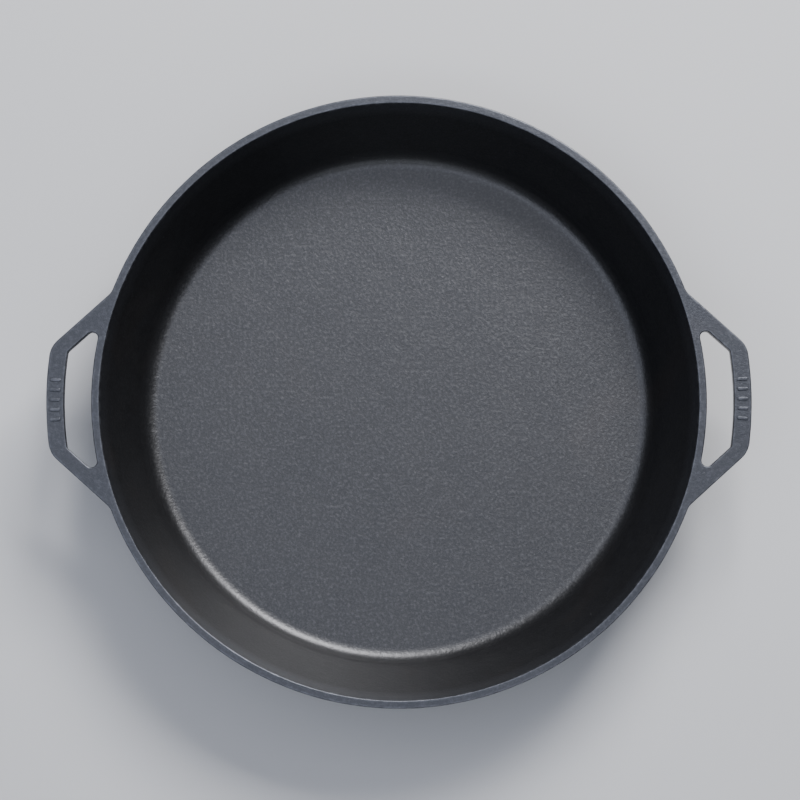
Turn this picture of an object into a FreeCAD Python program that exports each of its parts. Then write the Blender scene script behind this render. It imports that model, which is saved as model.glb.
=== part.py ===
import FreeCAD, Part
import math
import os
import Sketcher

# Large round cast iron pan with two flat loop handles, in millimetres.
# Own frame: +Z up, origin at the centre of the flat underside, handles along +X and -X.
# The real pan is one casting. The casting is modelled once, with its roundings, and is then
# divided along its own features, so neighbouring nodes meet face to face with no gap.

os.makedirs("parts", exist_ok=True)
doc = FreeCAD.newDocument("cast_iron_pan")

# ---------------------------------------------------------------- driving dimensions
DIMENSIONS = [
    ("pan_height", 75.0),            # underside to rim top
    ("casting_thickness", 4.0),      # floor, heel and wall
    ("floor_corner_radius", 183.3),  # where the floor and wall lines would meet, inside
    ("rim_inner_radius", 212.1),     # at the rim top
    ("rim_outer_radius", 217.8),
    ("rim_band_height", 9.5),        # also the thickness of the handles
    ("heel_inside_radius", 12.0),    # rounding between floor and wall, inside
    ("grip_outer_radius", 249.5),    # outer edge of the grip bar, about the pan's axis
    ("grip_inner_radius", 236.7),    # inner edge of the grip bar, about the pan's axis
    ("grip_outer_half_length", 38.0),
    ("grip_inner_half_length", 34.0),
    ("arm_angle", 42.0),             # of the handle arms from the X axis, in degrees
    ("handle_anchor_radius", 215.0),  # how far the handle blank runs into the rim band
    ("handle_seam_radius", 220.3),   # where the handle arms are divided from the rim band
    ("grip_corner_round", 18.0),
    ("arm_root_round", 12.0),
    ("hole_root_round", 4.0),
    ("hole_corner_round", 3.0),
    ("top_edge_round", 1.0),
    ("under_edge_round", 2.5),
    ("under_rim_round", 2.0),
    ("heel_seam_height", 12.0),      # where the heel ends and the straight wall begins
    ("rib_length", 7.6),             # across the grip bar
    ("rib_width", 2.2),
    ("rib_rise", 0.7),
    ("rib_edge_round", 0.3),
    ("rib_pitch_angle", 1.65),       # between neighbouring ribs, about the pan's axis
]
RIBS_PER_GRIP = 5

sheet = doc.addObject("Spreadsheet::Sheet", "Dimensions")
values = {}
for row, (alias, value) in enumerate(DIMENSIONS, start=1):
    sheet.set("A%d" % row, alias)
    sheet.set("B%d" % row, str(value))
    sheet.setAlias("B%d" % row, alias)
    values[alias] = value
doc.recompute()


def cell(alias):
    """The expression that reads one driving dimension."""
    return "Dimensions." + alias


# Slope of the wall, from its two inside radii, as expressions on the sheet.
WALL_RUN = "(%s - %s)" % (cell("rim_inner_radius"), cell("floor_corner_radius"))
WALL_RISE = "(%s - %s)" % (cell("pan_height"), cell("casting_thickness"))
WALL_TAN = "(%s / %s)" % (WALL_RUN, WALL_RISE)
WALL_WIDTH = "(%s * sqrt(1 + %s ^ 2))" % (cell("casting_thickness"), WALL_TAN)

# Where the flat floor ends and the heel's rounding begins, inside and on the underside alike.
HEEL_RUN = "%s * (sqrt(1 + %s ^ 2) - %s)" % (cell("heel_inside_radius"), WALL_TAN, WALL_TAN)
FLOOR_SEAM = "%s - %s" % (cell("floor_corner_radius"), HEEL_RUN)


def outer_wall_radius(height):
    """Expression for the outside radius of the sloped wall at a given height."""
    return "%s + (%s - %s) * %s + %s" % (
        cell("floor_corner_radius"), height, cell("casting_thickness"), WALL_TAN, WALL_WIDTH)


def outer_wall_value(height):
    """The same radius as a number, used to pick edges."""
    run = values["rim_inner_radius"] - values["floor_corner_radius"]
    slope = run / (values["pan_height"] - values["casting_thickness"])
    width = values["casting_thickness"] * math.sqrt(1 + slope ** 2)
    return values["floor_corner_radius"] + (height - values["casting_thickness"]) * slope + width


# ---------------------------------------------------------------- helpers
def origin_feature(body, role):
    """One of a body's own origin planes or axes."""
    for feature in body.Origin.OriginFeatures:
        if feature.Role == role:
            return feature
    raise RuntimeError("no origin feature " + role)


def new_body(name):
    """An empty body."""
    return doc.addObject("PartDesign::Body", name)


def new_sketch(body, name, role):
    """A sketch attached flat to one of the body's origin planes."""
    sketch = body.newObject("Sketcher::SketchObject", name)
    sketch.AttachmentSupport = [(origin_feature(body, role), "")]
    sketch.MapMode = "FlatFace"
    return sketch


def bind(sketch, kind, *arguments, expression, start):
    """Add one dimensional constraint and bind it to an expression on the sheet."""
    index = sketch.addConstraint(Sketcher.Constraint(kind, *arguments, start))
    sketch.setExpression("Constraints[%d]" % index, expression)


def closed_polygon(sketch, corners):
    """A closed outline whose corners are pairs of expressions for the sketch's X and Y."""
    points = []
    for across, up in corners:
        x = sheet.evalExpression(across)
        y = sheet.evalExpression(up)
        points.append(FreeCAD.Vector(float(x), float(y), 0))
    count = len(points)
    for index in range(count):
        sketch.addGeometry(Part.LineSegment(points[index], points[(index + 1) % count]), False)
    for index in range(count):
        sketch.addConstraint(Sketcher.Constraint("Coincident", index, 2, (index + 1) % count, 1))
    for index, (across, up) in enumerate(corners):
        bind(sketch, "DistanceX", -1, 1, index, 1, expression=across, start=points[index].x)
        bind(sketch, "DistanceY", -1, 1, index, 1, expression=up, start=points[index].y)


def handle_outline(sketch, outer, inner, half_length):
    """Two arcs about the pan's axis joined by two straight lines at the arm angle.

    outer, inner and half_length are aliases. half_length is where the lines leave the outer arc.
    """
    outer_radius = values[outer]
    inner_radius = values[inner]
    corner_y = values[half_length]
    corner_x = math.sqrt(outer_radius ** 2 - corner_y ** 2)
    angle = math.radians(values["arm_angle"])
    # Distance along the line from the outer corner back to the inner arc.
    along = corner_x * math.cos(angle) - corner_y * math.sin(angle)
    reach = along - math.sqrt(along ** 2 - outer_radius ** 2 + inner_radius ** 2)
    root_x = corner_x - reach * math.cos(angle)
    root_y = corner_y + reach * math.sin(angle)
    centre = FreeCAD.Vector(0, 0, 0)
    axis = FreeCAD.Vector(0, 0, 1)
    outer_angle = math.atan2(corner_y, corner_x)
    inner_angle = math.atan2(root_y, root_x)
    outer_circle = Part.Circle(centre, axis, outer_radius)
    inner_circle = Part.Circle(centre, axis, inner_radius)
    sketch.addGeometry(Part.ArcOfCircle(outer_circle, -outer_angle, outer_angle), False)
    sketch.addGeometry(Part.ArcOfCircle(inner_circle, -inner_angle, inner_angle), False)
    upper = (FreeCAD.Vector(corner_x, corner_y, 0), FreeCAD.Vector(root_x, root_y, 0))
    lower = (FreeCAD.Vector(corner_x, -corner_y, 0), FreeCAD.Vector(root_x, -root_y, 0))
    sketch.addGeometry(Part.LineSegment(*upper), False)
    sketch.addGeometry(Part.LineSegment(*lower), False)
    for first, first_end, second, second_end in (
            (0, 3, -1, 1), (1, 3, -1, 1), (0, 2, 2, 1), (0, 1, 3, 1), (1, 2, 2, 2), (1, 1, 3, 2)):
        sketch.addConstraint(
            Sketcher.Constraint("Coincident", first, first_end, second, second_end))
    bind(sketch, "Radius", 0, expression=cell(outer), start=outer_radius)
    bind(sketch, "Radius", 1, expression=cell(inner), start=inner_radius)
    bind(sketch, "DistanceY", -1, 1, 0, 2, expression=cell(half_length), start=corner_y)
    bind(sketch, "DistanceY", 0, 1, -1, 1, expression=cell(half_length), start=corner_y)
    for line in (2, 3):
        direction = sketch.Geometry[line].EndPoint - sketch.Geometry[line].StartPoint
        heading = math.atan2(direction.y, direction.x)
        sign = "" if heading > 0 else "-"
        expression = "%s(180 deg - %s * 1 deg)" % (sign, cell("arm_angle"))
        bind(sketch, "Angle", line, expression=expression, start=heading)


def edges_where(shape, test):
    """Names of the edges that pass a test."""
    return ["Edge%d" % (number + 1) for number, edge in enumerate(shape.Edges) if test(edge)]


def add_fillet(body, name, base, radius, test, expected):
    """Round the edges of one kind, after checking that the right number was found."""
    names = edges_where(base.Shape, test)
    if len(names) != expected:
        raise RuntimeError("%s found %d edges, not %d" % (name, len(names), expected))
    fillet = body.newObject("PartDesign::Fillet", name)
    fillet.Base = (base, names)
    fillet.setExpression("Radius", radius)
    doc.recompute()
    return fillet


def is_circle_at(edge, radius, height):
    """Whether an edge is a full circle about the pan's axis with this radius and height."""
    if not isinstance(edge.Curve, Part.Circle) or not edge.isClosed():
        return False
    same_height = abs(edge.Curve.Center.z - height) < 0.01
    return same_height and abs(edge.Curve.Radius - radius) < 0.01


def is_upright_at(edge, radius, half_length=None):
    """Whether an edge is vertical and at this distance from the pan's axis (and from Y = 0)."""
    low, high = edge.BoundBox.ZMin, edge.BoundBox.ZMax
    if len(edge.Vertexes) != 2 or high - low < values["rim_band_height"] - 0.01:
        return False
    point = edge.Vertexes[0].Point
    if math.hypot(point.x - edge.Vertexes[1].Point.x, point.y - edge.Vertexes[1].Point.y) > 0.01:
        return False
    if abs(math.hypot(point.x, point.y) - radius) > 0.01:
        return False
    return half_length is None or abs(abs(point.y) - half_length) < 0.01


def is_flat_at(edge, height):
    """Whether an edge lies wholly in the horizontal plane at this height."""
    return abs(edge.BoundBox.ZMin - height) < 0.01 and abs(edge.BoundBox.ZMax - height) < 0.01


# ---------------------------------------------------------------- the casting
casting = new_body("casting")

# Floor, wall and rim band, turned about the pan's axis.
profile = new_sketch(casting, "pan_profile", "XZ_Plane")
band_bottom = "(%s - %s)" % (cell("pan_height"), cell("rim_band_height"))
closed_polygon(profile, [
    ("0", "0"),
    (outer_wall_radius("0"), "0"),
    (outer_wall_radius(band_bottom), band_bottom),
    (cell("rim_outer_radius"), band_bottom),
    (cell("rim_outer_radius"), cell("pan_height")),
    (cell("rim_inner_radius"), cell("pan_height")),
    (cell("floor_corner_radius"), cell("casting_thickness")),
    ("0", cell("casting_thickness")),
])
turned = casting.newObject("PartDesign::Revolution", "turned_pan")
turned.Profile = profile
turned.ReferenceAxis = (profile, ["V_Axis"])
turned.Angle = 360
doc.recompute()

# One handle blank with its flat top flush with the rim, then the hand hole through it.
blank_sketch = new_sketch(casting, "handle_blank", "XY_Plane")
handle_outline(blank_sketch, "grip_outer_radius", "handle_anchor_radius", "grip_outer_half_length")
blank_sketch.setExpression("AttachmentOffset.Base.z", cell("pan_height"))
blank = casting.newObject("PartDesign::Pad", "handle_pad")
blank.Profile = blank_sketch
blank.setExpression("Length", cell("rim_band_height"))
blank.Reversed = True
doc.recompute()

hole_sketch = new_sketch(casting, "hand_hole", "XY_Plane")
handle_outline(hole_sketch, "grip_inner_radius", "rim_outer_radius", "grip_inner_half_length")
hole_sketch.setExpression("AttachmentOffset.Base.z", cell("pan_height"))
doc.recompute()
# At the least, the pocket has to clear a thumb's width along the bar.
least_hole = values["rim_band_height"] * values["grip_inner_half_length"] * 15
before_hole = blank.Shape.Volume
hole = casting.newObject("PartDesign::Pocket", "hand_hole_pocket")
hole.Profile = hole_sketch
hole.setExpression("Length", cell("rim_band_height"))
doc.recompute()
if hole.Shape.Volume > before_hole - least_hole:
    raise RuntimeError("the hand hole removed nothing")

# The second handle, mirrored across the pan.
both = casting.newObject("PartDesign::Mirrored", "second_handle")
both.Originals = [blank, hole]
both.MirrorPlane = (origin_feature(casting, "YZ_Plane"), [""])
casting.Tip = both
doc.recompute()

# Roundings in plan, while the handles still have square sides.

# How far from Y = 0 the arms stand on the rim: the holes end nearer, the arms' outsides farther.
ARM_MIDDLE_Y = 65.0


def is_grip_corner(edge):
    """The upright edges at the outer ends of a grip bar."""
    return is_upright_at(edge, values["grip_outer_radius"], values["grip_outer_half_length"])


def is_hole_corner(edge):
    """The upright edges of a hand hole at the ends of the grip bar."""
    return is_upright_at(edge, values["grip_inner_radius"], values["grip_inner_half_length"])


def is_hole_root(edge):
    """The upright edges where a hand hole's slanted sides meet the rim band."""
    at_rim = is_upright_at(edge, values["rim_outer_radius"])
    return at_rim and abs(edge.Vertexes[0].Point.y) < ARM_MIDDLE_Y


def is_arm_root(edge):
    """The upright edges where the outside of a handle arm meets the rim band."""
    at_rim = is_upright_at(edge, values["rim_outer_radius"])
    return at_rim and abs(edge.Vertexes[0].Point.y) > ARM_MIDDLE_Y


step = add_fillet(casting, "grip_corners", both, cell("grip_corner_round"), is_grip_corner, 4)
step = add_fillet(casting, "hole_corners", step, cell("hole_corner_round"), is_hole_corner, 4)
step = add_fillet(casting, "hole_roots", step, cell("hole_root_round"), is_hole_root, 4)
step = add_fillet(casting, "arm_roots", step, cell("arm_root_round"), is_arm_root, 4)

# The heel's two roundings, the corner under the rim, and the edges of the flat top and underside.
top_height = values["pan_height"]
under_height = values["pan_height"] - values["rim_band_height"]
heel_outside_radius = "%s + %s" % (cell("heel_inside_radius"), cell("casting_thickness"))


def is_heel_inside(edge):
    """The circle where the floor and wall meet, inside."""
    return is_circle_at(edge, values["floor_corner_radius"], values["casting_thickness"])


def is_heel_outside(edge):
    """The circle where the underside and wall meet, outside."""
    return is_circle_at(edge, outer_wall_value(0), 0)


def is_under_rim(edge):
    """The circle where the wall runs into the underside of the rim band."""
    return is_circle_at(edge, outer_wall_value(under_height), under_height)


def is_top_edge(edge):
    """Every edge of the one flat face that the rim and both handles share."""
    return is_flat_at(edge, top_height)


def is_under_edge(edge):
    """The lower outside edges of rim, handles and hand holes, but not the corner at the wall."""
    if not is_flat_at(edge, under_height):
        return False
    return not (edge.isClosed() and edge.Curve.Radius < values["rim_outer_radius"])


# An outline has 16 edges round the outside and 8 round each hand hole. The top also has the
# circle round the pan's mouth.
OUTLINE_EDGES = 32
step = add_fillet(casting, "heel_inside", step, cell("heel_inside_radius"), is_heel_inside, 1)
step = add_fillet(casting, "heel_outside", step, heel_outside_radius, is_heel_outside, 1)
step = add_fillet(casting, "under_rim", step, cell("under_rim_round"), is_under_rim, 1)
step = add_fillet(casting, "top_edges", step, cell("top_edge_round"), is_top_edge, OUTLINE_EDGES + 1)
step = add_fillet(casting, "under_edges", step, cell("under_edge_round"), is_under_edge, OUTLINE_EDGES)
casting.Tip = step
doc.recompute()

# ---------------------------------------------------------------- dividing the casting
# Large enough to reach past the whole casting on every side.
CLEAR = 300.0


def disc_tool(name, radius, low, high):
    """An upright cylinder about the pan's axis. The sizes are expressions."""
    tool = doc.addObject("Part::Cylinder", name)
    tool.setExpression("Radius", radius)
    tool.setExpression("Height", "%s - (%s)" % (high, low))
    tool.setExpression("Placement.Base.z", low)
    return tool


def block_tool(name, x_range, y_range, z_range):
    """A block between pairs of expressions along X, Y and Z."""
    tool = doc.addObject("Part::Box", name)
    for size, axis, (low, high) in (
            ("Length", "x", x_range), ("Width", "y", y_range), ("Height", "z", z_range)):
        tool.setExpression(size, "%s - (%s)" % (high, low))
        tool.setExpression("Placement.Base." + axis, low)
    return tool


def common(name, base, tool):
    """The part of base that lies inside tool."""
    result = doc.addObject("Part::Common", name)
    result.Base = base
    result.Tool = tool
    return result


def cut(name, base, tool):
    """The part of base that lies outside tool."""
    result = doc.addObject("Part::Cut", name)
    result.Base = base
    result.Tool = tool
    return result


below = "-%g" % CLEAR
above = "%g" % CLEAR
nodes = []

# The flat floor, out to where the heel rounding begins.
floor_disc = disc_tool("floor_disc", FLOOR_SEAM, below, above)
nodes.append(common("cooking_floor", casting, floor_disc))

# The rounded heel around the floor, up to the straight wall.
low_disc = disc_tool("low_disc", above, below, cell("heel_seam_height"))
low_ring = cut("low_ring", low_disc, floor_disc)
nodes.append(common("heel_ring", casting, low_ring))

# The sloped wall, up to the underside of the rim band.
wall_disc = disc_tool("wall_disc", above, cell("heel_seam_height"), band_bottom)
nodes.append(common("side_wall", casting, wall_disc))

# The rim band, with the low bosses that the handle arms grow from.
rim_disc = disc_tool("rim_disc", cell("handle_seam_radius"), band_bottom, above)
nodes.append(common("rim_band", casting, rim_disc))

# Each handle is a grip bar between two arms, divided where the inner corner of the hole is.
high_block = block_tool("high_block", (below, above), (below, above), (band_bottom, above))
outside_rim = cut("outside_rim", high_block, rim_disc)
seam_y = cell("grip_inner_half_length")
for side, x_range in (("left", (below, "0")), ("right", ("0", above))):
    for piece, y_range in (
            ("arm_front", (below, "-" + seam_y)),
            ("grip_bar", ("-" + seam_y, seam_y)),
            ("arm_back", (seam_y, above))):
        label = "%s_handle_%s" % (side, piece)
        block = block_tool(label + "_block", x_range, y_range, (band_bottom, above))
        region = common(label + "_region", outside_rim, block)
        nodes.append(common(label, casting, region))
doc.recompute()


# ---------------------------------------------------------------- grip ribs
def is_rib_top(edge):
    """The edges round the flat top of a rib."""
    return is_flat_at(edge, values["rib_rise"])


def grip_rib(name, turn):
    """A low round-ended rib across the grip bar's flat top, turned about the pan's axis."""
    body = new_body(name)
    sketch = new_sketch(body, name + "_sketch", "XY_Plane")
    half_width = values["rib_width"] / 2
    half_span = values["rib_length"] / 2 - half_width
    middle = (values["grip_inner_radius"] + values["grip_outer_radius"]) / 2
    axis = FreeCAD.Vector(0, 0, 1)
    for sign, first in ((1, -math.pi / 2), (-1, math.pi / 2)):
        circle = Part.Circle(FreeCAD.Vector(middle + sign * half_span, 0, 0), axis, half_width)
        sketch.addGeometry(Part.ArcOfCircle(circle, first, first + math.pi), False)
    for sign in (1, -1):
        start = FreeCAD.Vector(middle + sign * half_span, sign * half_width, 0)
        end = FreeCAD.Vector(middle - sign * half_span, sign * half_width, 0)
        sketch.addGeometry(Part.LineSegment(start, end), False)
    for first, first_end, second, second_end in (
            (0, 2, 2, 1), (1, 1, 2, 2), (1, 2, 3, 1), (0, 1, 3, 2)):
        sketch.addConstraint(Sketcher.Constraint("Tangent", first, first_end, second, second_end))
    sketch.addConstraint(Sketcher.Constraint("Equal", 0, 1))
    sketch.addConstraint(Sketcher.Constraint("PointOnObject", 0, 3, -1))
    sketch.addConstraint(Sketcher.Constraint("PointOnObject", 1, 3, -1))
    half = "%s / 2" % cell("rib_width")
    span = "(%s - %s) / 2" % (cell("rib_length"), cell("rib_width"))
    centre = "(%s + %s) / 2" % (cell("grip_inner_radius"), cell("grip_outer_radius"))
    outer_end = centre + " + " + span
    inner_end = centre + " - " + span
    bind(sketch, "Radius", 0, expression=half, start=half_width)
    bind(sketch, "DistanceX", -1, 1, 0, 3, expression=outer_end, start=middle + half_span)
    bind(sketch, "DistanceX", -1, 1, 1, 3, expression=inner_end, start=middle - half_span)
    doc.recompute()
    pad = body.newObject("PartDesign::Pad", name + "_pad")
    pad.Profile = sketch
    pad.setExpression("Length", cell("rib_rise"))
    doc.recompute()
    add_fillet(body, name + "_edges", pad, cell("rib_edge_round"), is_rib_top, 4)
    body.setExpression("Placement.Base.z", cell("pan_height"))
    body.setExpression("Placement.Rotation.Angle", turn)
    return body


for side, half_turn in (("left", 180), ("right", 0)):
    for number in range(1, RIBS_PER_GRIP + 1):
        offset = number - (RIBS_PER_GRIP + 1) / 2
        angle = "%d + %g * %s" % (half_turn, offset, cell("rib_pitch_angle"))
        nodes.append(grip_rib("%s_grip_rib_%d" % (side, number), angle))
doc.recompute()

# ---------------------------------------------------------------- checks and export
for item in doc.Objects:
    if "Invalid" in item.State or "Error" in item.State:
        raise RuntimeError("%s did not compute: %s" % (item.Label, item.State))

for node in nodes:
    shape = node.Shape
    if shape.isNull() or not shape.isValid() or len(shape.Solids) != 1:
        raise RuntimeError("%s is not one valid solid" % node.Label)
    shape.exportStep("parts/%s.step" % node.Label)
    print("%-26s %10.1f mm3" % (node.Label, shape.Volume))
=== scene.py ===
import math

import bpy
import numpy as np
from mathutils import Matrix, Vector, kdtree, noise
from mathutils.geometry import delaunay_2d_cdt


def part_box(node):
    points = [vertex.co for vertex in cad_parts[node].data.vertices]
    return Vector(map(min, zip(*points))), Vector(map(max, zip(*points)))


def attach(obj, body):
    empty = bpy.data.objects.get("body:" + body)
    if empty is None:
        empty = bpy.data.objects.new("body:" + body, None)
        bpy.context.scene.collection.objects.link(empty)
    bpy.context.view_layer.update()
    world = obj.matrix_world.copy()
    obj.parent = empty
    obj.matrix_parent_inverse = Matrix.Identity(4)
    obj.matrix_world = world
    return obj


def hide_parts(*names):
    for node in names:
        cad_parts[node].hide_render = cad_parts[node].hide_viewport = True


# A large round cast iron pan with two flat loop handles. All shapes are worked out in
# millimetres in the CAD frame and written to the meshes in metres.

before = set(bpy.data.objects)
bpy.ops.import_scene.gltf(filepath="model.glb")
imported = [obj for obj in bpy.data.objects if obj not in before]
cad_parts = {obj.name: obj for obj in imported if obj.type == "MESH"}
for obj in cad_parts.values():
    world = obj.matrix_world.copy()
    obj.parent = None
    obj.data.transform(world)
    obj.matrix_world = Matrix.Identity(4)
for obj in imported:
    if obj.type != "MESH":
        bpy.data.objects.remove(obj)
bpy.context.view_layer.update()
MM = 1000.0

# ------------------------------------------------------------------ sizes, read from the CAD


def corners(node):
    """A node's lowest and highest corner, in millimetres."""
    low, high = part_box(node)
    return Vector(low) * MM, Vector(high) * MM


floor_low, floor_high = corners("cooking_floor")
heel_low, heel_high = corners("heel_ring")
band_low, band_high = corners("rim_band")
bar_low, bar_high = corners("right_handle_grip_bar")
rib_low, rib_high = corners("right_grip_rib_3")

FLOOR_SEAM_RADIUS = floor_high.x
THICKNESS = floor_high.z
HEEL_SEAM_HEIGHT = heel_high.z
BAND_BOTTOM = band_low.z
TOP = band_high.z
RIM_RADIUS = band_high.y
GRIP_RADIUS = bar_high.x
GRIP_SEAM_Y = bar_high.y
RIB_TOP = rib_high.z
RIB_MIDDLE = (rib_low.x + rib_high.x) / 2
RIB_LENGTH = rib_high.x - rib_low.x
RIB_WIDTH = rib_high.y - rib_low.y

# Sizes that no box shows, in millimetres and degrees.
FLOOR_CORNER_RADIUS = 183.3
MOUTH_RADIUS = 212.1
HEEL_ROUND = 12.0
GRIP_INNER_RADIUS = 236.7
GRIP_CORNER_Y = 38.0
HANDLE_SEAM_RADIUS = 220.3
ARM_ANGLE = math.radians(42.0)
GRIP_ROUND = 18.0
ARM_ROOT_ROUND = 12.0
HOLE_ROOT_ROUND = 4.0
HOLE_CORNER_ROUND = 3.0
TOP_ROUND = 1.0
UNDER_ROUND = 2.5
UNDER_RIM_ROUND = 2.0
RIB_ROUND = 0.35
RIB_PITCH = math.radians(1.65)
RIBS_PER_GRIP = 5

WALL_LEAN = math.atan2(MOUTH_RADIUS - FLOOR_CORNER_RADIUS, TOP - THICKNESS)

# How finely the pan is divided: around its axis, along an outline, and up a profile.
TURNS = 720
OUTLINE_STEP = 1.2
FLOOR_STEP = 2.9
UNDERSIDE_STEP = 5.0
WALL_INSIDE_STEP = 2.2
WALL_OUTSIDE_STEP = 2.6
HEEL_INSIDE_COUNT = 16
HEEL_OUTSIDE_COUNT = 20
UNDER_RIM_COUNT = 6

# Depth of the casting's slight unevenness, always into the iron so nothing stands proud.
SWELL_DEPTH = 0.16
SWELL_SIZE = 26.0
DIMPLE_DEPTH = 0.06
DIMPLE_SIZE = 5.5

# How worn each kind of surface is, from 0, as cast, to 1, rubbed bright.
AS_CAST = 0.0
HEEL_OUTSIDE_WEAR = 0.15
RIB_FOOT_WEAR = 0.2
SIDE_WEAR = 0.35
UNDER_EDGE_WEAR = 0.4
RIB_SIDE_WEAR = 0.4
TOP_EDGE_WEAR = 1.0


def unevenness(x, y, z):
    """How far below its ideal place a point of the casting's skin lies."""
    place = Vector((x, y, z))
    swell = noise.noise(place / SWELL_SIZE)
    dimple = noise.noise(place / DIMPLE_SIZE)
    return SWELL_DEPTH * (0.5 + 0.5 * swell) + DIMPLE_DEPTH * (0.5 + 0.5 * dimple)


def sink(points, normals):
    """Move points into the iron, against their normals, by the casting's unevenness."""
    points = np.asarray(points, float)
    normals = np.asarray(normals, float)
    depth = np.array([unevenness(*point) for point in points])
    return points - normals * depth[:, None]


# ------------------------------------------------------------------ material
# Colours of the iron and of what lies on it.
PIT_BLACK = (0.0036, 0.0037, 0.0042)
IRON_BLACK = (0.0058, 0.0060, 0.0068)
CLOUD_BLACK = (0.0076, 0.0077, 0.0084)
RUST_BROWN = (0.016, 0.012, 0.0095)
WORN_GREY = (0.050, 0.052, 0.058)
DUST_GREY = (0.20, 0.20, 0.21)
PLAIN_TINT = (1.0, 1.0, 1.0)
COOL_TINT = (0.87, 0.91, 1.0)

# Sizes of the grain, in millimetres.
SPECK_SIZE = 0.9
PEBBLE_SIZE = 2.1
MOTTLE_SIZE = 6.5
CRUMB_SPACING = 8.0
CLOUD_SIZE = 48.0
PATCH_SIZE = 95.0

# Depths of the grain, in metres.
MOTTLE_DEPTH = 0.0008
PEBBLE_DEPTH = 0.00045
SPECK_DEPTH = 0.00018

# Heights between which the finish changes, in metres.
FLOOR_FADE = ((THICKNESS + 0.15) / MM, (THICKNESS + 4.0) / MM)
HEEL_FADE = (0.010, 0.018)
COOL_FADE = (0.058, 0.069)
RIM_FADE = (0.060, 0.068)
FINE_FADE = (0.070, 0.074)

IRON_IOR = 1.62
FILM_IOR = 1.48
FILM_ROUGHNESS = 0.30


def wired(tree, kind, inputs=None, **settings):
    """A shader node with settings, and inputs that are values or other nodes' outputs."""
    node = tree.nodes.new(kind)
    for key, value in settings.items():
        setattr(node, key, value)
    for key, value in (inputs or {}).items():
        if isinstance(value, bpy.types.NodeSocket):
            tree.links.new(value, node.inputs[key])
        else:
            node.inputs[key].default_value = value
    return node


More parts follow.
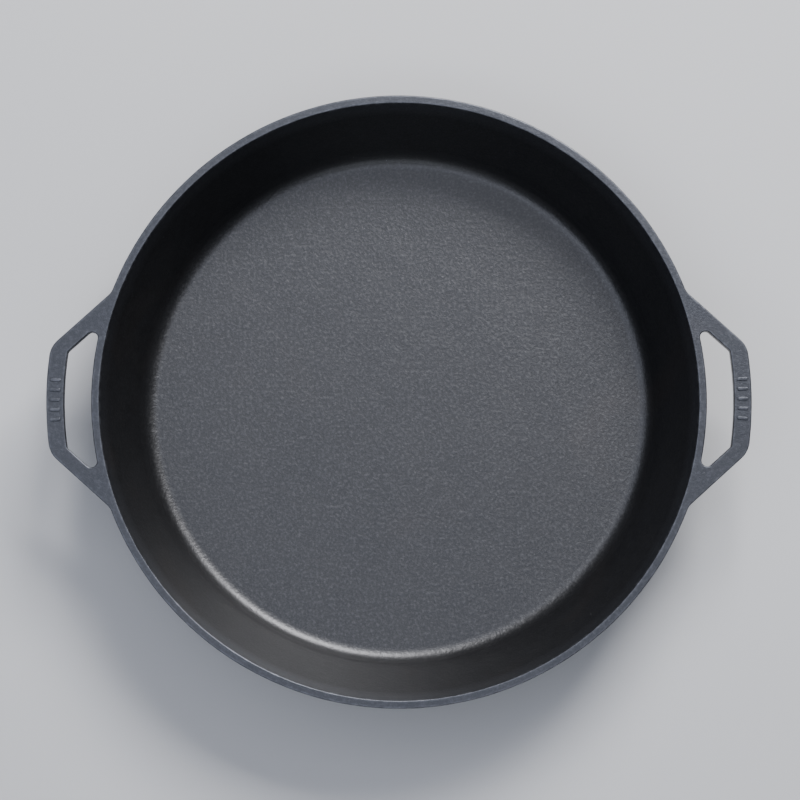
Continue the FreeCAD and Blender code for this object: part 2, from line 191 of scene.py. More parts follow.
def seasoned_iron():
    """Cast iron under a thin baked oil film: near black, pebbled, with faint brown patches."""
    material = bpy.data.materials.new("seasoned_iron")
    material.use_nodes = True
    tree = material.node_tree
    tree.nodes.clear()
    place = wired(tree, "ShaderNodeTexCoord").outputs["Object"]
    height = wired(tree, "ShaderNodeSeparateXYZ", {"Vector": place}).outputs["Z"]

    def grain(size_mm, detail=2.0, roughness=0.5, distortion=0.0):
        """Soft noise whose lumps are about this size."""
        return wired(tree, "ShaderNodeTexNoise", {
            "Vector": place, "Scale": MM / size_mm, "Detail": detail, "Roughness": roughness,
            "Distortion": distortion}).outputs["Fac"]

    def spread(value, low, high, to_low, to_high):
        """A value carried from one range to another, held at the ends."""
        return wired(tree, "ShaderNodeMapRange", {
            "Value": value, "From Min": low, "From Max": high, "To Min": to_low,
            "To Max": to_high}).outputs["Result"]

    def mixed(amount, first, second):
        """Two colours mixed."""
        node = wired(tree, "ShaderNodeMix", {"Factor": amount}, data_type="RGBA")
        for key, value in ((6, first), (7, second)):
            if isinstance(value, bpy.types.NodeSocket):
                tree.links.new(value, node.inputs[key])
            else:
                node.inputs[key].default_value = (*value, 1.0)
        return node.outputs[2]

    def maths(operation, first, second):
        """Two values combined."""
        return wired(tree, "ShaderNodeMath", {0: first, 1: second}, operation=operation).outputs[0]

    def times(first, second):
        """Two values multiplied."""
        return maths("MULTIPLY", first, second)

    def bump(lumps, strength, depth, under=None):
        """A normal bent by lumps of this depth, over another normal or the plain one."""
        inputs = {"Height": lumps, "Strength": strength, "Distance": depth}
        if under is not None:
            inputs["Normal"] = under
        return wired(tree, "ShaderNodeBump", inputs).outputs["Normal"]

    wear = wired(tree, "ShaderNodeAttribute", attribute_name="edge_wear").outputs["Fac"]
    pebble = grain(PEBBLE_SIZE, 2.0, 0.55)
    speck = grain(SPECK_SIZE, 1.0, 0.5)
    mottle = grain(MOTTLE_SIZE, 3.0, 0.6)
    cloud = grain(CLOUD_SIZE, 3.0, 0.55, 0.4)
    patch = grain(PATCH_SIZE, 2.0, 0.5, 0.8)

    # The floor keeps the sand's full grain. The heel, wall, rim and handles are smoother,
    # but the rim and handles, never scraped or cooked on, keep their finest grain.
    grit = spread(height, *FLOOR_FADE, 1.0, 0.42)
    fine_grit = maths("ADD", grit, spread(height, *FINE_FADE, 0.0, 0.65))

    dark = mixed(spread(mottle, 0.35, 0.65, 0.0, 1.0), PIT_BLACK, IRON_BLACK)
    clouded = mixed(spread(cloud, 0.35, 0.7, 0.0, 0.6), dark, CLOUD_BLACK)
    rusty = mixed(spread(patch, 0.60, 0.76, 0.0, 0.3), clouded, RUST_BROWN)
    worn_spots = times(wear, spread(mottle, 0.42, 0.62, 0.15, 0.65))
    worn = mixed(worn_spots, rusty, WORN_GREY)
    # A few pale crumbs of dust and salt, each well under a millimetre across.
    cells = wired(tree, "ShaderNodeTexVoronoi", {"Vector": place, "Scale": MM / CRUMB_SPACING}).outputs
    chosen = wired(tree, "ShaderNodeSeparateColor", {"Color": cells["Color"]}).outputs["Red"]
    near = spread(cells["Distance"], 0.028, 0.048, 1.0, 0.0)
    crumb = times(near, spread(chosen, 0.82, 0.9, 0.0, 0.8))
    colour = mixed(crumb, worn, DUST_GREY)

    rough = maths("ADD", spread(cloud, 0.3, 0.7, 0.40, 0.45), spread(pebble, 0.3, 0.7, -0.03, 0.04))
    rough = maths("ADD", rough, spread(worn_spots, 0.0, 1.0, 0.0, -0.08))

    # The crests between the pits are rubbed smooth and shine more than the pits.
    crest = maths("POWER", spread(pebble, 0.44, 0.72, 0.0, 1.0), 1.4)
    pit = spread(speck, 0.3, 0.7, 0.42, 0.56)
    contrast = maths("ADD", times(grit, 0.31), spread(height, *RIM_FADE, 0.0, 0.12))
    shine = maths("ADD", times(crest, contrast), pit)
    # The wall, between heel and rim, is the dullest part and the rim and handles the shiniest.
    dull = times(spread(height, *HEEL_FADE, 0.0, 0.18), spread(height, *RIM_FADE, 1.0, -0.72))
    shine = maths("SUBTRACT", shine, dull)
    # Edges and rib tops, rubbed by hands and cloths, shine most of all.
    shine = maths("ADD", shine, times(worn_spots, 0.35))

    coarse = bump(mottle, times(grit, 0.32), MOTTLE_DEPTH)
    medium = bump(pebble, times(grit, 0.45), PEBBLE_DEPTH, coarse)
    fine = bump(speck, times(fine_grit, 0.6), SPECK_DEPTH, medium)
    # The baked oil lies over the iron as a thin film, smoother than the grain under it. It
    # pools on the floor and in the heel and is thinner above them.
    film = bump(pebble, times(grit, 0.3), PEBBLE_DEPTH)
    film_weight = spread(height, *HEEL_FADE, 0.45, 0.20)
    # Rim and handles keep a cooler cast than the cooking surfaces.
    tint = mixed(spread(height, *COOL_FADE, 0.0, 1.0), PLAIN_TINT, COOL_TINT)
    shader = wired(tree, "ShaderNodeBsdfPrincipled", {
        "Base Color": colour, "Roughness": rough, "IOR": IRON_IOR, "Normal": fine,
        "Specular IOR Level": shine, "Specular Tint": tint, "Coat Weight": film_weight,
        "Coat Roughness": FILM_ROUGHNESS, "Coat IOR": FILM_IOR, "Coat Normal": film})
    wired(tree, "ShaderNodeOutputMaterial", {"Surface": shader.outputs["BSDF"]})
    return material


IRON = seasoned_iron()


# ------------------------------------------------------------------ pieces
# Faces that meet at more than this are shaded with an edge between them.
SHARP_ANGLE = math.radians(40)


def make_piece(name, points, faces, wear, *nodes):
    """A mesh object that rides on the root body and stands for CAD nodes."""
    mesh = bpy.data.meshes.new("iron_" + name)
    mesh.from_pydata([tuple(p) for p in np.asarray(points) / MM], [], faces)
    layer = mesh.attributes.new("edge_wear", "FLOAT", "POINT")
    layer.data.foreach_set("value", np.asarray(wear, dtype=np.float32))
    mesh.update()
    mesh.validate()
    mesh.shade_smooth()
    mesh.set_sharp_from_angle(angle=SHARP_ANGLE)
    piece = bpy.data.objects.new("iron_" + name, mesh)
    bpy.context.scene.collection.objects.link(piece)
    piece.data.materials.append(IRON)
    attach(piece, "root")
    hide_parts(*nodes)
    return piece


# ------------------------------------------------------------------ turned pieces
def wall_point(along, depth):
    """A point on the wall, a distance up the slope and a depth out from its inner face."""
    start = (FLOOR_CORNER_RADIUS, THICKNESS)
    up = (math.sin(WALL_LEAN), math.cos(WALL_LEAN))
    out = (math.cos(WALL_LEAN), -math.sin(WALL_LEAN))
    return (start[0] + up[0] * along + out[0] * depth, start[1] + up[1] * along + out[1] * depth)


def line(start, end, step, normal, wear=AS_CAST):
    """Profile points (radius, height, normal, wear) along a straight run."""
    count = max(1, math.ceil(math.dist(start, end) / step))
    points = []
    for index in range(count + 1):
        t = index / count
        points.append((start[0] + (end[0] - start[0]) * t, start[1] + (end[1] - start[1]) * t,
                       normal[0], normal[1], wear))
    return points


def arc(centre, radius, start, end, count, away, wear=AS_CAST):
    """Profile points along a rounding. away is 1 where the iron is inside the arc, else -1."""
    points = []
    for index in range(count + 1):
        angle = start + (end - start) * index / count
        side = (math.cos(angle), math.sin(angle))
        points.append((centre[0] + radius * side[0], centre[1] + radius * side[1],
                       side[0] * away, side[1] * away, wear))
    return points


def turned(name, profile):
    """A piece turned about the pan's axis from a closed profile, listed with the iron on its left."""
    tidy = []
    for point in profile:
        if tidy and math.dist(point[:2], tidy[-1][:2]) < 1e-6 and point[2:4] == tidy[-1][2:4]:
            continue
        tidy.append(point)
    points = []
    normals = []
    wear = []
    rows = []
    for radius, height, out, up, worn in tidy:
        if radius < 1e-6:
            rows.append([len(points)] * TURNS)
            points.append((0, 0, height))
            normals.append((0, 0, up))
            wear.append(worn)
            continue
        rows.append(list(range(len(points), len(points) + TURNS)))
        for turn in range(TURNS):
            angle = 2 * math.pi * turn / TURNS
            points.append((radius * math.cos(angle), radius * math.sin(angle), height))
            normals.append((out * math.cos(angle), out * math.sin(angle), up))
            wear.append(worn)
    faces = []
    for row, first in enumerate(rows):
        second = rows[(row + 1) % len(rows)]
        if len(set(first)) == 1 and len(set(second)) == 1:
            continue
        for turn in range(TURNS):
            after = (turn + 1) % TURNS
            ring = [first[turn], first[after], second[after], second[turn]]
            face = [v for place, v in enumerate(ring) if v != ring[place - 1]]
            faces.append(face[::-1])
    return make_piece(name, sink(points, normals), faces, wear, name)


def turned_pieces():
    """The floor, the heel and the wall."""
    lean = WALL_LEAN
    outer_round = HEEL_ROUND + THICKNESS
    up = (0.0, 1.0)
    down = (0.0, -1.0)
    # The heel's two roundings share one centre, above the floor and inside the wall.
    tangent = HEEL_ROUND * math.tan((math.pi / 2 - lean) / 2)
    centre = (FLOOR_CORNER_RADIUS - tangent, THICKNESS + HEEL_ROUND)
    slope_in = (-math.cos(lean), math.sin(lean))
    slope_out = (math.cos(lean), -math.sin(lean))
    floor_edge = FLOOR_SEAM_RADIUS

    turned("cooking_floor", line((0, THICKNESS), (floor_edge, THICKNESS), FLOOR_STEP, up)[::-1]
           + line((0, 0), (floor_edge, 0), UNDERSIDE_STEP, down))

    # Straight wall above the heel, from the seam height, inside and outside.
    start_angle = -math.pi / 2
    end_angle = -lean
    along_in = (HEEL_SEAM_HEIGHT - THICKNESS) / math.cos(lean)
    inner_seam = wall_point(along_in, 0)
    along_out = (HEEL_SEAM_HEIGHT - THICKNESS + THICKNESS * math.sin(lean)) / math.cos(lean)
    outer_seam = wall_point(along_out, THICKNESS)
    inside = [(floor_edge, THICKNESS, *up, AS_CAST)]
    inside += arc(centre, HEEL_ROUND, start_angle, end_angle, HEEL_INSIDE_COUNT, -1)
    inside += [(*inner_seam, *slope_in, AS_CAST)]
    outside = [(floor_edge, 0.0, *down, AS_CAST)]
    outside += arc(centre, outer_round, start_angle, end_angle, HEEL_OUTSIDE_COUNT, 1,
                   HEEL_OUTSIDE_WEAR)
    outside += [(*outer_seam, *slope_out, AS_CAST)]
    turned("heel_ring", inside[::-1] + outside)

    # The wall up to the rim band, with the small hollow rounding under the band.
    along_top = (BAND_BOTTOM - THICKNESS) / math.cos(lean)
    along_under = (BAND_BOTTOM - THICKNESS + THICKNESS * math.sin(lean)) / math.cos(lean)
    under_corner = wall_point(along_under, THICKNESS)
    back = UNDER_RIM_ROUND * math.tan((math.pi / 2 - lean) / 2)
    fillet_start = wall_point(along_under - back, THICKNESS)
    fillet_centre = (under_corner[0] + back, BAND_BOTTOM - UNDER_RIM_ROUND)
    inside = line(inner_seam, wall_point(along_top, 0), WALL_INSIDE_STEP, slope_in)
    outside = line(outer_seam, fillet_start, WALL_OUTSIDE_STEP, slope_out)
    outside += arc(fillet_centre, UNDER_RIM_ROUND, math.pi - lean, math.pi / 2,
                   UNDER_RIM_COUNT, -1)
    turned("side_wall", inside[::-1] + outside)


# ------------------------------------------------------------------ rim band and handles
ARM_OUT = (math.sin(ARM_ANGLE), math.cos(ARM_ANGLE))
AXIS = (0.0, 0.0)

# Outline points closer together than this, in millimetres, are one point.
SAME_POINT = 1e-4

# On small roundings the step along an arc is at most this share of its radius.
ARC_SHARE = 0.16


class Outline:
    """A closed outline in plan, as points with normals that point away from the iron."""

    def __init__(self):
        self.points = []
        self.normals = []

    def add(self, point, normal):
        if self.points and math.dist(self.points[-1], point) < SAME_POINT:
            return
        self.points.append(tuple(point))
        self.normals.append(tuple(normal))

    def arc(self, centre, radius, start, end, away, step=OUTLINE_STEP):
        """Points round an arc. away is 1 where the iron is inside the arc, else -1."""
        sweep = math.remainder(end - start, 2 * math.pi)
        count = max(4, math.ceil(abs(sweep) * radius / min(step, radius * ARC_SHARE)))
        for index in range(count + 1):
            angle = start + sweep * index / count
            side = (math.cos(angle), math.sin(angle))
            point = (centre[0] + radius * side[0], centre[1] + radius * side[1])
            self.add(point, (side[0] * away, side[1] * away))

    def run(self, start, end, normal, step=OUTLINE_STEP):
        """Points along a straight run."""
        count = max(1, math.ceil(math.dist(start, end) / step))
        for index in range(count + 1):
            t = index / count
            point = (start[0] + (end[0] - start[0]) * t, start[1] + (end[1] - start[1]) * t)
            self.add(point, normal)


def line_offset(radius, half_length):
    """Distance from the axis of the line at the arm angle through a point on a circle."""
    x = math.sqrt(radius ** 2 - half_length ** 2)
    return x * math.sin(ARM_ANGLE) + half_length * math.cos(ARM_ANGLE)


def blend(offset, radius, line_side, circle_side, rounding):
    """A rounding between a line at the arm angle and a circle about the axis.

    line_side and circle_side are 1 or -1: the side of each that the rounding's centre lies on,
    1 being away from the axis. Gives the centre and the points on the line and on the circle.
    """
    across = offset + line_side * rounding
    reach = radius + circle_side * rounding
    run = math.sqrt(reach ** 2 - across ** 2)
    centre = (ARM_OUT[0] * across + ARM_OUT[1] * run, ARM_OUT[1] * across - ARM_OUT[0] * run)
    on_line = (centre[0] - ARM_OUT[0] * line_side * rounding,
               centre[1] - ARM_OUT[1] * line_side * rounding)
    on_circle = (centre[0] * radius / reach, centre[1] * radius / reach)
    return centre, on_line, on_circle


def heading(centre, point):
    """Direction of a point seen from a centre."""
    return math.atan2(point[1] - centre[1], point[0] - centre[0])


def mirrored(outline, flip_x, flip_y, backwards):
    """A copy of an outline, mirrored and perhaps taken the other way round."""
    copy = Outline()
    order = range(len(outline.points))
    for index in reversed(order) if backwards else order:
        x, y = outline.points[index]
        out_x, out_y = outline.normals[index]
        copy.add((x * flip_x, y * flip_y), (out_x * flip_x, out_y * flip_y))
    return copy


def joined(*parts):
    """One closed outline from parts that follow one another."""
    whole = Outline()
    for part in parts:
        for point, normal in zip(part.points, part.normals):
            whole.add(point, normal)
    if math.dist(whole.points[0], whole.points[-1]) < SAME_POINT:
        whole.points.pop()
        whole.normals.pop()
    return whole


def plan_outlines():
    """The outside of rim and handles, and the two hand holes."""
    offset = line_offset(GRIP_RADIUS, GRIP_CORNER_Y)
    centre, on_line, on_circle = blend(offset, GRIP_RADIUS, -1, -1, GRIP_ROUND)
    root_centre, root_line, root_circle = blend(offset, RIM_RADIUS, 1, 1, ARM_ROOT_ROUND)
    quarter = Outline()
    quarter.arc(AXIS, GRIP_RADIUS, 0, heading(AXIS, on_circle), 1)
    quarter.arc(centre, GRIP_ROUND, heading(centre, on_circle), heading(centre, on_line), 1)
    quarter.run(on_line, root_line, ARM_OUT)
    quarter.arc(root_centre, ARM_ROOT_ROUND, heading(root_centre, root_line),
                heading(root_centre, root_circle), -1)
    quarter.arc(AXIS, RIM_RADIUS, heading(AXIS, root_circle), math.pi / 2, 1)
    outside = joined(quarter, mirrored(quarter, -1, 1, True), mirrored(quarter, -1, -1, False),
                     mirrored(quarter, 1, -1, True))

    offset = line_offset(GRIP_INNER_RADIUS, GRIP_SEAM_Y)
    centre, on_line, on_circle = blend(offset, GRIP_INNER_RADIUS, -1, -1, HOLE_CORNER_ROUND)
    root_centre, root_line, root_circle = blend(offset, RIM_RADIUS, -1, 1, HOLE_ROOT_ROUND)
    half = Outline()
    half.arc(AXIS, GRIP_INNER_RADIUS, 0, heading(AXIS, on_circle), -1)
    half.arc(centre, HOLE_CORNER_ROUND, heading(centre, on_circle), heading(centre, on_line), -1)
    half.run(on_line, root_line, (-ARM_OUT[0], -ARM_OUT[1]))
    half.arc(root_centre, HOLE_ROOT_ROUND, heading(root_centre, root_line),
             heading(root_centre, root_circle), -1)
    half.arc(AXIS, RIM_RADIUS, heading(AXIS, root_circle), 0, 1)
    right = joined(half, mirrored(half, 1, -1, True))
    return [outside, right, mirrored(right, -1, 1, True)]


class Nearness:
    """Finds how deep inside the iron a point in plan is, and which way is out."""

    def __init__(self, outlines):
        self.points = []
        self.normals = []
        self.before = []
        self.after = []
        for outline in outlines:
            first = len(self.points)
            count = len(outline.points)
            self.points += outline.points
            self.normals += outline.normals
            self.before += [first + (k - 1) % count for k in range(count)]
            self.after += [first + (k + 1) % count for k in range(count)]
        self.tree = kdtree.KDTree(len(self.points))
        for index, point in enumerate(self.points):
            self.tree.insert((point[0], point[1], 0), index)
        self.tree.balance()

    def depth(self, x, y):
        """Depth inside the iron (negative outside it) and the outward direction."""
        nearest = self.tree.find((x, y, 0))[1]
        best = None
        for other in (self.before[nearest], self.after[nearest]):
            ax, ay = self.points[nearest]
            bx, by = self.points[other]
            length = (bx - ax) ** 2 + (by - ay) ** 2
            t = min(1.0, max(0.0, ((x - ax) * (bx - ax) + (y - ay) * (by - ay)) / length))
            gap = math.hypot(x - ax - t * (bx - ax), y - ay - t * (by - ay))
            if best is None or gap < best[0]:
                out_x = self.normals[nearest][0] * (1 - t) + self.normals[other][0] * t
                out_y = self.normals[nearest][1] * (1 - t) + self.normals[other][1] * t
                best = (gap, out_x, out_y, ax + t * (bx - ax), ay + t * (by - ay))
        gap, out_x, out_y, foot_x, foot_y = best
        size = math.hypot(out_x, out_y)
        out_x, out_y = out_x / size, out_y / size
        inside = (x - foot_x) * out_x + (y - foot_y) * out_y < 0
        return (gap if inside else -gap), out_x, out_y


# Where the mouth's rounding starts on the slope and ends on the flat top.
MOUTH_BACK = TOP_ROUND * math.tan((math.pi / 2 - WALL_LEAN) / 2)
MOUTH_START = MOUTH_RADIUS - MOUTH_BACK * math.sin(WALL_LEAN)
MOUTH_END = MOUTH_RADIUS + MOUTH_BACK
BAND_INNER = MOUTH_RADIUS - (TOP - BAND_BOTTOM) * math.tan(WALL_LEAN)


def top_skin(radius, depth, out_x, out_y, x, y):
    """Height, normal and wear of the band's and handles' upper skin at a point in plan."""
    in_x, in_y = -x / radius, -y / radius
    if radius <= MOUTH_START:
        height = TOP - (MOUTH_RADIUS - radius) / math.tan(WALL_LEAN)
        side = math.cos(WALL_LEAN)
        return height, (in_x * side, in_y * side, math.sin(WALL_LEAN)), AS_CAST
    if radius < MOUTH_END:
        lean = (MOUTH_END - radius) / TOP_ROUND
        rise = math.sqrt(max(0.0, 1 - lean ** 2))
        return TOP - TOP_ROUND + TOP_ROUND * rise, (in_x * lean, in_y * lean, rise), TOP_EDGE_WEAR
    if depth < TOP_ROUND:
        lean = 1 - max(0.0, depth) / TOP_ROUND
        rise = math.sqrt(max(0.0, 1 - lean ** 2))
        return TOP - TOP_ROUND + TOP_ROUND * rise, (out_x * lean, out_y * lean, rise), TOP_EDGE_WEAR
    # The wear fades out over the first millimetre of the flat.
    edge = min(depth - TOP_ROUND, radius - MOUTH_END)
    return TOP, (0.0, 0.0, 1.0), max(AS_CAST, 0.5 - edge / 2.0)


def under_skin(depth, out_x, out_y):
    """Height, normal and wear of the underside at a point in plan."""
    if depth < UNDER_ROUND:
        lean = 1 - max(0.0, depth) / UNDER_ROUND
        drop = math.sqrt(max(0.0, 1 - lean ** 2))
        height = BAND_BOTTOM + UNDER_ROUND - UNDER_ROUND * drop
        return height, (out_x * lean, out_y * lean, -drop), UNDER_EDGE_WEAR
    return BAND_BOTTOM, (0.0, 0.0, -1.0), AS_CAST


# Rows of points inside the outlines, in millimetres from them, and up the handles' sides.
LAYERS = (0.04, 0.14, 0.3, 0.55, 0.8, 1.0, 1.45, 1.95, 2.5)
LAYER_SLACK = 0.02
SIDE_ROWS = 4

# Rings round the mouth: down the slope, round the edge, and out on the flat.
SLOPE_RINGS = 5
ROUND_RINGS = 5
FLAT_RINGS = (0.7, 1.5)

# The grid over the flat tops: its step, its rows' spacing in steps, and how many each way.
FILL_STEP = 2.2
FILL_ROW_SPACING = 0.87
FILL_ROWS = 40
FILL_COLUMNS = 120
FILL_CLEAR_OF_MOUTH = 2.2
FILL_CLEAR_OF_LAYERS = 0.7

# Seams: arcs at the arms' roots, and cuts at the grip bars' ends that overrun both edges.
SEAM_STEP = 0.3
ROOT_SEAM_START = math.radians(10)
ROOT_SEAM_END = math.radians(24)
GRIP_SEAM_OVERRUN_IN = 6
GRIP_SEAM_OVERRUN_OUT = 2


def plan_points(outlines, nearness):
    """Points in plan for the band and handles, with the outlines and seams as fixed edges."""
    points = []
    edges = []
    for outline in outlines:
        first = len(points)
        count = len(outline.points)
        points += outline.points
        edges += [(first + k, first + (k + 1) % count) for k in range(count)]
    # Rows just inside the outlines, for the roundings of their edges.
    for outline in outlines:
        for (x, y), (out_x, out_y) in zip(outline.points, outline.normals):
            for layer in LAYERS:
                point = (x - out_x * layer, y - out_y * layer)
                if nearness.depth(*point)[0] > layer - LAYER_SLACK:
                    points.append(point)
    # Rings round the mouth.
    slope_rings = np.linspace(BAND_INNER, MOUTH_START, SLOPE_RINGS)
    lean = math.pi / 2 - WALL_LEAN
    round_rings = [MOUTH_END - TOP_ROUND * math.sin(lean * (1 - k / ROUND_RINGS))
                   for k in range(1, ROUND_RINGS + 1)]
    rings = [*slope_rings, *round_rings, *(MOUTH_END + out for out in FLAT_RINGS)]
    for ring in rings:
        first = len(points)
        for turn in range(TURNS):
            angle = 2 * math.pi * turn / TURNS
            points.append((ring * math.cos(angle), ring * math.sin(angle)))
        if ring == rings[0]:
            edges += [(first + k, first + (k + 1) % TURNS) for k in range(TURNS)]
    # A plain grid over the flat middle of arms, bosses and grip bars.
    for row in range(-FILL_ROWS, FILL_ROWS + 1):
        for column in range(-FILL_COLUMNS, FILL_COLUMNS + 1):
            x = (column + 0.5 * (row % 2)) * FILL_STEP
            y = row * FILL_STEP * FILL_ROW_SPACING
            radius = math.hypot(x, y)
            if radius < MOUTH_END + FILL_CLEAR_OF_MOUTH or radius > GRIP_RADIUS:
                continue
            if nearness.depth(x, y)[0] > LAYERS[-1] + FILL_CLEAR_OF_LAYERS:
                points.append((x, y))
    # Seams: arcs where the arms grow from the band, straight cuts where they meet the grip bars.
    for side in (0, math.pi):
        for sign in (1, -1):
            first = len(points)
            sweep = ROOT_SEAM_END - ROOT_SEAM_START
            count = round(HANDLE_SEAM_RADIUS * sweep / SEAM_STEP)
            for k in range(count + 1):
                angle = side + sign * (ROOT_SEAM_START + sweep * k / count)
                points.append((HANDLE_SEAM_RADIUS * math.cos(angle),
                               HANDLE_SEAM_RADIUS * math.sin(angle)))
            edges += [(first + k, first + k + 1) for k in range(count)]
    for side in (1, -1):
        for sign in (1, -1):
            first = len(points)
            start = GRIP_INNER_RADIUS - GRIP_SEAM_OVERRUN_IN
            end = GRIP_RADIUS + GRIP_SEAM_OVERRUN_OUT
            count = round((end - start) / SEAM_STEP)
            for k in range(count + 1):
                points.append((side * (start + (end - start) * k / count), sign * GRIP_SEAM_Y))
            edges += [(first + k, first + k + 1) for k in range(count)]
    return points, edges


def piece_at(x, y):
    """The node that a place in plan belongs to."""
    if math.hypot(x, y) < HANDLE_SEAM_RADIUS:
        return "rim_band"
    side = "right" if x > 0 else "left"
    if abs(y) < GRIP_SEAM_Y:
        return side + "_handle_grip_bar"
    return side + ("_handle_arm_back" if y > 0 else "_handle_arm_front")


def band_and_handles():
    """The rim band, the arms and the grip bars, as slabs with rounded edges."""
    outlines = plan_outlines()
    nearness = Nearness(outlines)
    points, edges = plan_points(outlines, nearness)
    flat = [Vector(point) for point in points]
    verts, _, triangles, _, _, _ = delaunay_2d_cdt(flat, edges, [], 0, SAME_POINT)
    skins = []
    for vert in verts:
        radius = vert.length
        depth, out_x, out_y = nearness.depth(vert.x, vert.y)
        skins.append((radius, depth, out_x, out_y))
    by_piece = {}
    for triangle in triangles:
        x = sum(verts[v].x for v in triangle) / 3
        y = sum(verts[v].y for v in triangle) / 3
        if math.hypot(x, y) < BAND_INNER or nearness.depth(x, y)[0] < 0:
            continue
        by_piece.setdefault(piece_at(x, y), []).append(triangle)
    for name, faces in by_piece.items():
        slab(name, verts, skins, faces)


# Skins nearer than this, in millimetres, meet in one point. Points nearer an outline than
# ON_OUTLINE are on it, and get the side rows.
SKINS_MEET = 1e-2
ON_OUTLINE = 2e-3


def slab(name, verts, skins, triangles):
    """One closed piece between the upper and lower skins, over triangles in plan."""
    points = []
    normals = []
    wear = []
    columns = {}

    def add(x, y, skin):
        points.append((x, y, skin[0]))
        normals.append(skin[1])
        wear.append(skin[2])
        return len(points) - 1

    for index in sorted({v for triangle in triangles for v in triangle}):
        x, y = verts[index]
        radius, depth, out_x, out_y = skins[index]
        upper = top_skin(radius, depth, out_x, out_y, x, y)
        lower = under_skin(depth, out_x, out_y)
        column = [add(x, y, upper)]
        if upper[0] - lower[0] > SKINS_MEET:
            rows = SIDE_ROWS if abs(depth) < ON_OUTLINE else 1
            for row in range(1, rows):
                t = row / rows
                height = upper[0] + (lower[0] - upper[0]) * t
                column.append(add(x, y, (height, (out_x, out_y, 0.0), SIDE_WEAR)))
            column.append(add(x, y, lower))
        columns[index] = column
    faces = []
    open_edges = {}
    for triangle in triangles:
        faces.append([columns[v][0] for v in triangle])
        under = [columns[v][-1] for v in reversed(triangle)]
        faces.append(under)
        for place in range(3):
            edge = (triangle[place], triangle[(place + 1) % 3])
            if edge[::-1] in open_edges:
                del open_edges[edge[::-1]]
            else:
                open_edges[edge] = True
    for start, end in open_edges:
        first, second = columns[start], columns[end]
        if len(first) == 1 and len(second) == 1:
            continue
        if len(first) == len(second):
            for row in range(len(first) - 1):
                faces.append([first[row + 1], second[row + 1], second[row], first[row]])
        else:
            faces.append([first[-1], *reversed(second), *first[:-1]])
    make_piece(name, sink(points, normals), faces, wear, name)


# ------------------------------------------------------------------ grip ribs
RIB_END_POINTS = 13
RIB_EDGE_ROWS = 4


def grip_rib(name, turn):
    """A low round-ended rib across a grip bar, its foot sunk a little into the bar."""
    half = RIB_WIDTH / 2
    span = RIB_LENGTH / 2 - half
    foot = TOP - SWELL_DEPTH - DIMPLE_DEPTH
    rings = [(0.0, foot, RIB_FOOT_WEAR), (0.0, RIB_TOP - RIB_ROUND, RIB_SIDE_WEAR)]
    for k in range(1, RIB_EDGE_ROWS + 1):
        lean = math.pi / 2 * k / RIB_EDGE_ROWS
        rings.append((RIB_ROUND * (1 - math.cos(lean)),
                      RIB_TOP - RIB_ROUND + RIB_ROUND * math.sin(lean), TOP_EDGE_WEAR))
    points = []
    wear = []
    for inset, height, worn in rings:
        for end in (1, -1):
            for k in range(RIB_END_POINTS):
                angle = math.pi * k / (RIB_END_POINTS - 1) - math.pi / 2
                x = RIB_MIDDLE + end * (span + (half - inset) * math.cos(angle))
                y = end * (half - inset) * math.sin(angle)
                points.append((x * math.cos(turn) - y * math.sin(turn),
                               x * math.sin(turn) + y * math.cos(turn), height))
                wear.append(worn)
    around = 2 * RIB_END_POINTS
    faces = [list(range(around))[::-1]]
    for ring in range(len(rings) - 1):
        for k in range(around):
            after = (k + 1) % around
            low, high = ring * around, (ring + 1) * around
            faces.append([low + k, low + after, high + after, high + k])
    top = (len(rings) - 1) * around
    faces.append([top + k for k in range(around)])
    make_piece(name, points, faces, wear, name)


def grip_ribs():
    """The row of ribs on each grip bar."""
    for side, start in (("right", 0.0), ("left", math.pi)):
        for number in range(1, RIBS_PER_GRIP + 1):
            offset = number - (RIBS_PER_GRIP + 1) / 2
            grip_rib("%s_grip_rib_%d" % (side, number), start + offset * RIB_PITCH)


turned_pieces()
band_and_handles()
grip_ribs()


# ------------------------------------------------------------------ floor, light and camera
FLOOR_HALF_SIZE = 6.0
PAPER_COLOUR = (0.62, 0.62, 0.61, 1.0)
PAPER_ROUGHNESS = 0.9
PAPER_SHINE = 0.1
SURROUND_COLOUR = (0.75, 0.85, 1.0, 1.0)
SURROUND_STRENGTH = 0.05

# The middle of the mouth, which the lights face, in metres.
MOUTH_CENTRE = Vector((0.0, 0.0, TOP / MM))

# The camera stands almost straight above. Its sensor and lens are in millimetres.
CAMERA_AZIMUTH = math.radians(-4.3)
CAMERA_ELEVATION = math.radians(84.9)
CAMERA_ROLL = math.radians(-0.13)
CAMERA_DISTANCE = 2.0
CAMERA_AIM = Vector((0.0005, -0.0007, TOP / MM))
SENSOR_WIDTH = 36.0
LENS = 127.4
VIEW_END = 50.0


def studio():
    """A plain pale floor in a dim, slightly blue surround."""
    mesh = bpy.data.meshes.new("studio_floor")
    half = FLOOR_HALF_SIZE
    mesh.from_pydata([(-half, -half, 0), (half, -half, 0), (half, half, 0), (-half, half, 0)],
                     [], [(0, 1, 2, 3)])
    backdrop = bpy.data.objects.new("studio_floor", mesh)
    bpy.context.scene.collection.objects.link(backdrop)
    paper = bpy.data.materials.new("studio_paper")
    paper.use_nodes = True
    shader = paper.node_tree.nodes["Principled BSDF"]
    shader.inputs["Base Color"].default_value = PAPER_COLOUR
    shader.inputs["Roughness"].default_value = PAPER_ROUGHNESS
    shader.inputs["Specular IOR Level"].default_value = PAPER_SHINE
    mesh.materials.append(paper)

    world = bpy.data.worlds.new("dim_surround")
    world.use_nodes = True
    background = world.node_tree.nodes["Background"]
    background.inputs["Color"].default_value = SURROUND_COLOUR
    background.inputs["Strength"].default_value = SURROUND_STRENGTH
    bpy.context.scene.world = world


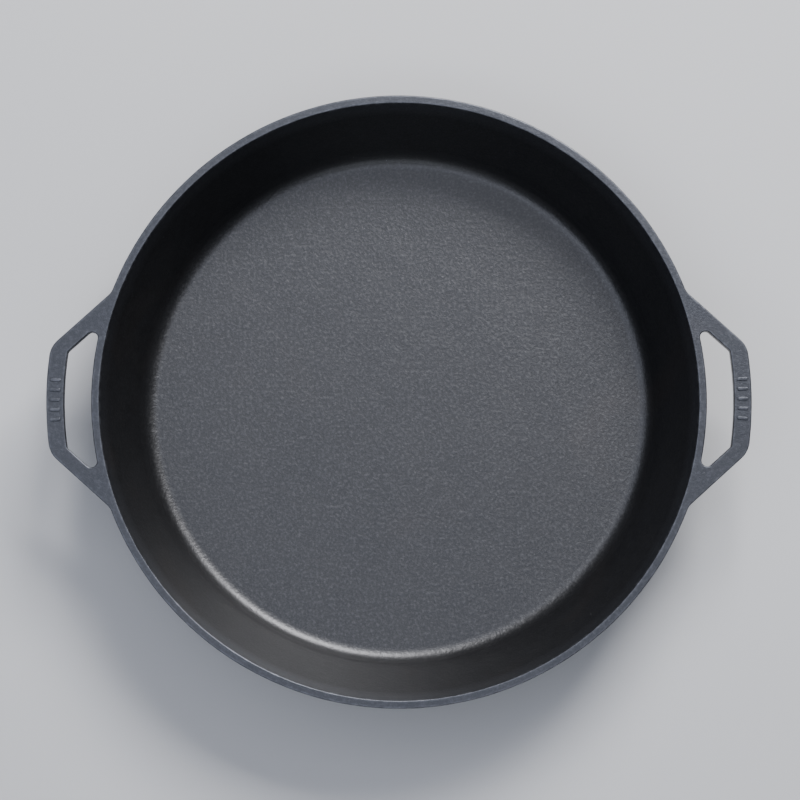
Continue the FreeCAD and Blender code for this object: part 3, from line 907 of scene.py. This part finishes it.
def soft_light(name, azimuth, elevation, distance, size, power, colour):
    """An area light that faces the pan. The azimuth is measured from +X towards +Y."""
    light = bpy.data.lights.new(name, "AREA")
    light.shape = "RECTANGLE"
    light.size, light.size_y = size
    light.energy = power
    light.color = colour
    lamp = bpy.data.objects.new(name, light)
    turn, lift = math.radians(azimuth), math.radians(elevation)
    back = Vector((math.cos(turn) * math.cos(lift), math.sin(turn) * math.cos(lift), math.sin(lift)))
    lamp.location = MOUTH_CENTRE + back * distance
    lamp.rotation_euler = back.to_track_quat("Z", "Y").to_euler()
    bpy.context.scene.collection.objects.link(lamp)


def lights():
    """A broad light overhead, the main one at the back right, and weaker ones in front."""
    soft_light("overhead", azimuth=190, elevation=74, distance=3.2, size=(4.0, 4.0), power=63,
               colour=(0.78, 0.83, 1.0))
    soft_light("key", azimuth=69, elevation=41, distance=2.6, size=(1.3, 1.0), power=109,
               colour=(0.96, 0.96, 1.0))
    soft_light("upper_key", azimuth=66, elevation=58, distance=2.7, size=(0.6, 1.2), power=6,
               colour=(0.97, 0.96, 1.0))
    soft_light("fill", azimuth=272, elevation=34, distance=3.0, size=(2.0, 1.4), power=11,
               colour=(0.85, 0.90, 1.0))
    soft_light("front_sky", azimuth=258, elevation=66, distance=3.0, size=(3.2, 0.7), power=10,
               colour=(0.85, 0.88, 1.0))


def camera():
    """Almost straight above the pan, a little towards the front and left."""
    lift = CAMERA_ELEVATION
    back = Vector((math.sin(CAMERA_AZIMUTH) * math.cos(lift),
                   -math.cos(CAMERA_AZIMUTH) * math.cos(lift), math.sin(lift)))
    level = Vector((0, 1, 0)).cross(back).normalized()
    upright = back.cross(level)
    right = level * math.cos(CAMERA_ROLL) + upright * math.sin(CAMERA_ROLL)
    up = upright * math.cos(CAMERA_ROLL) - level * math.sin(CAMERA_ROLL)
    view = Matrix((right, up, back)).transposed().to_4x4()
    view.translation = CAMERA_AIM + back * CAMERA_DISTANCE
    data = bpy.data.cameras.new("camera")
    data.sensor_width = SENSOR_WIDTH
    data.lens = LENS
    data.clip_end = VIEW_END
    item = bpy.data.objects.new("camera", data)
    item.matrix_world = view
    bpy.context.scene.collection.objects.link(item)
    bpy.context.scene.camera = item


studio()
lights()
camera()
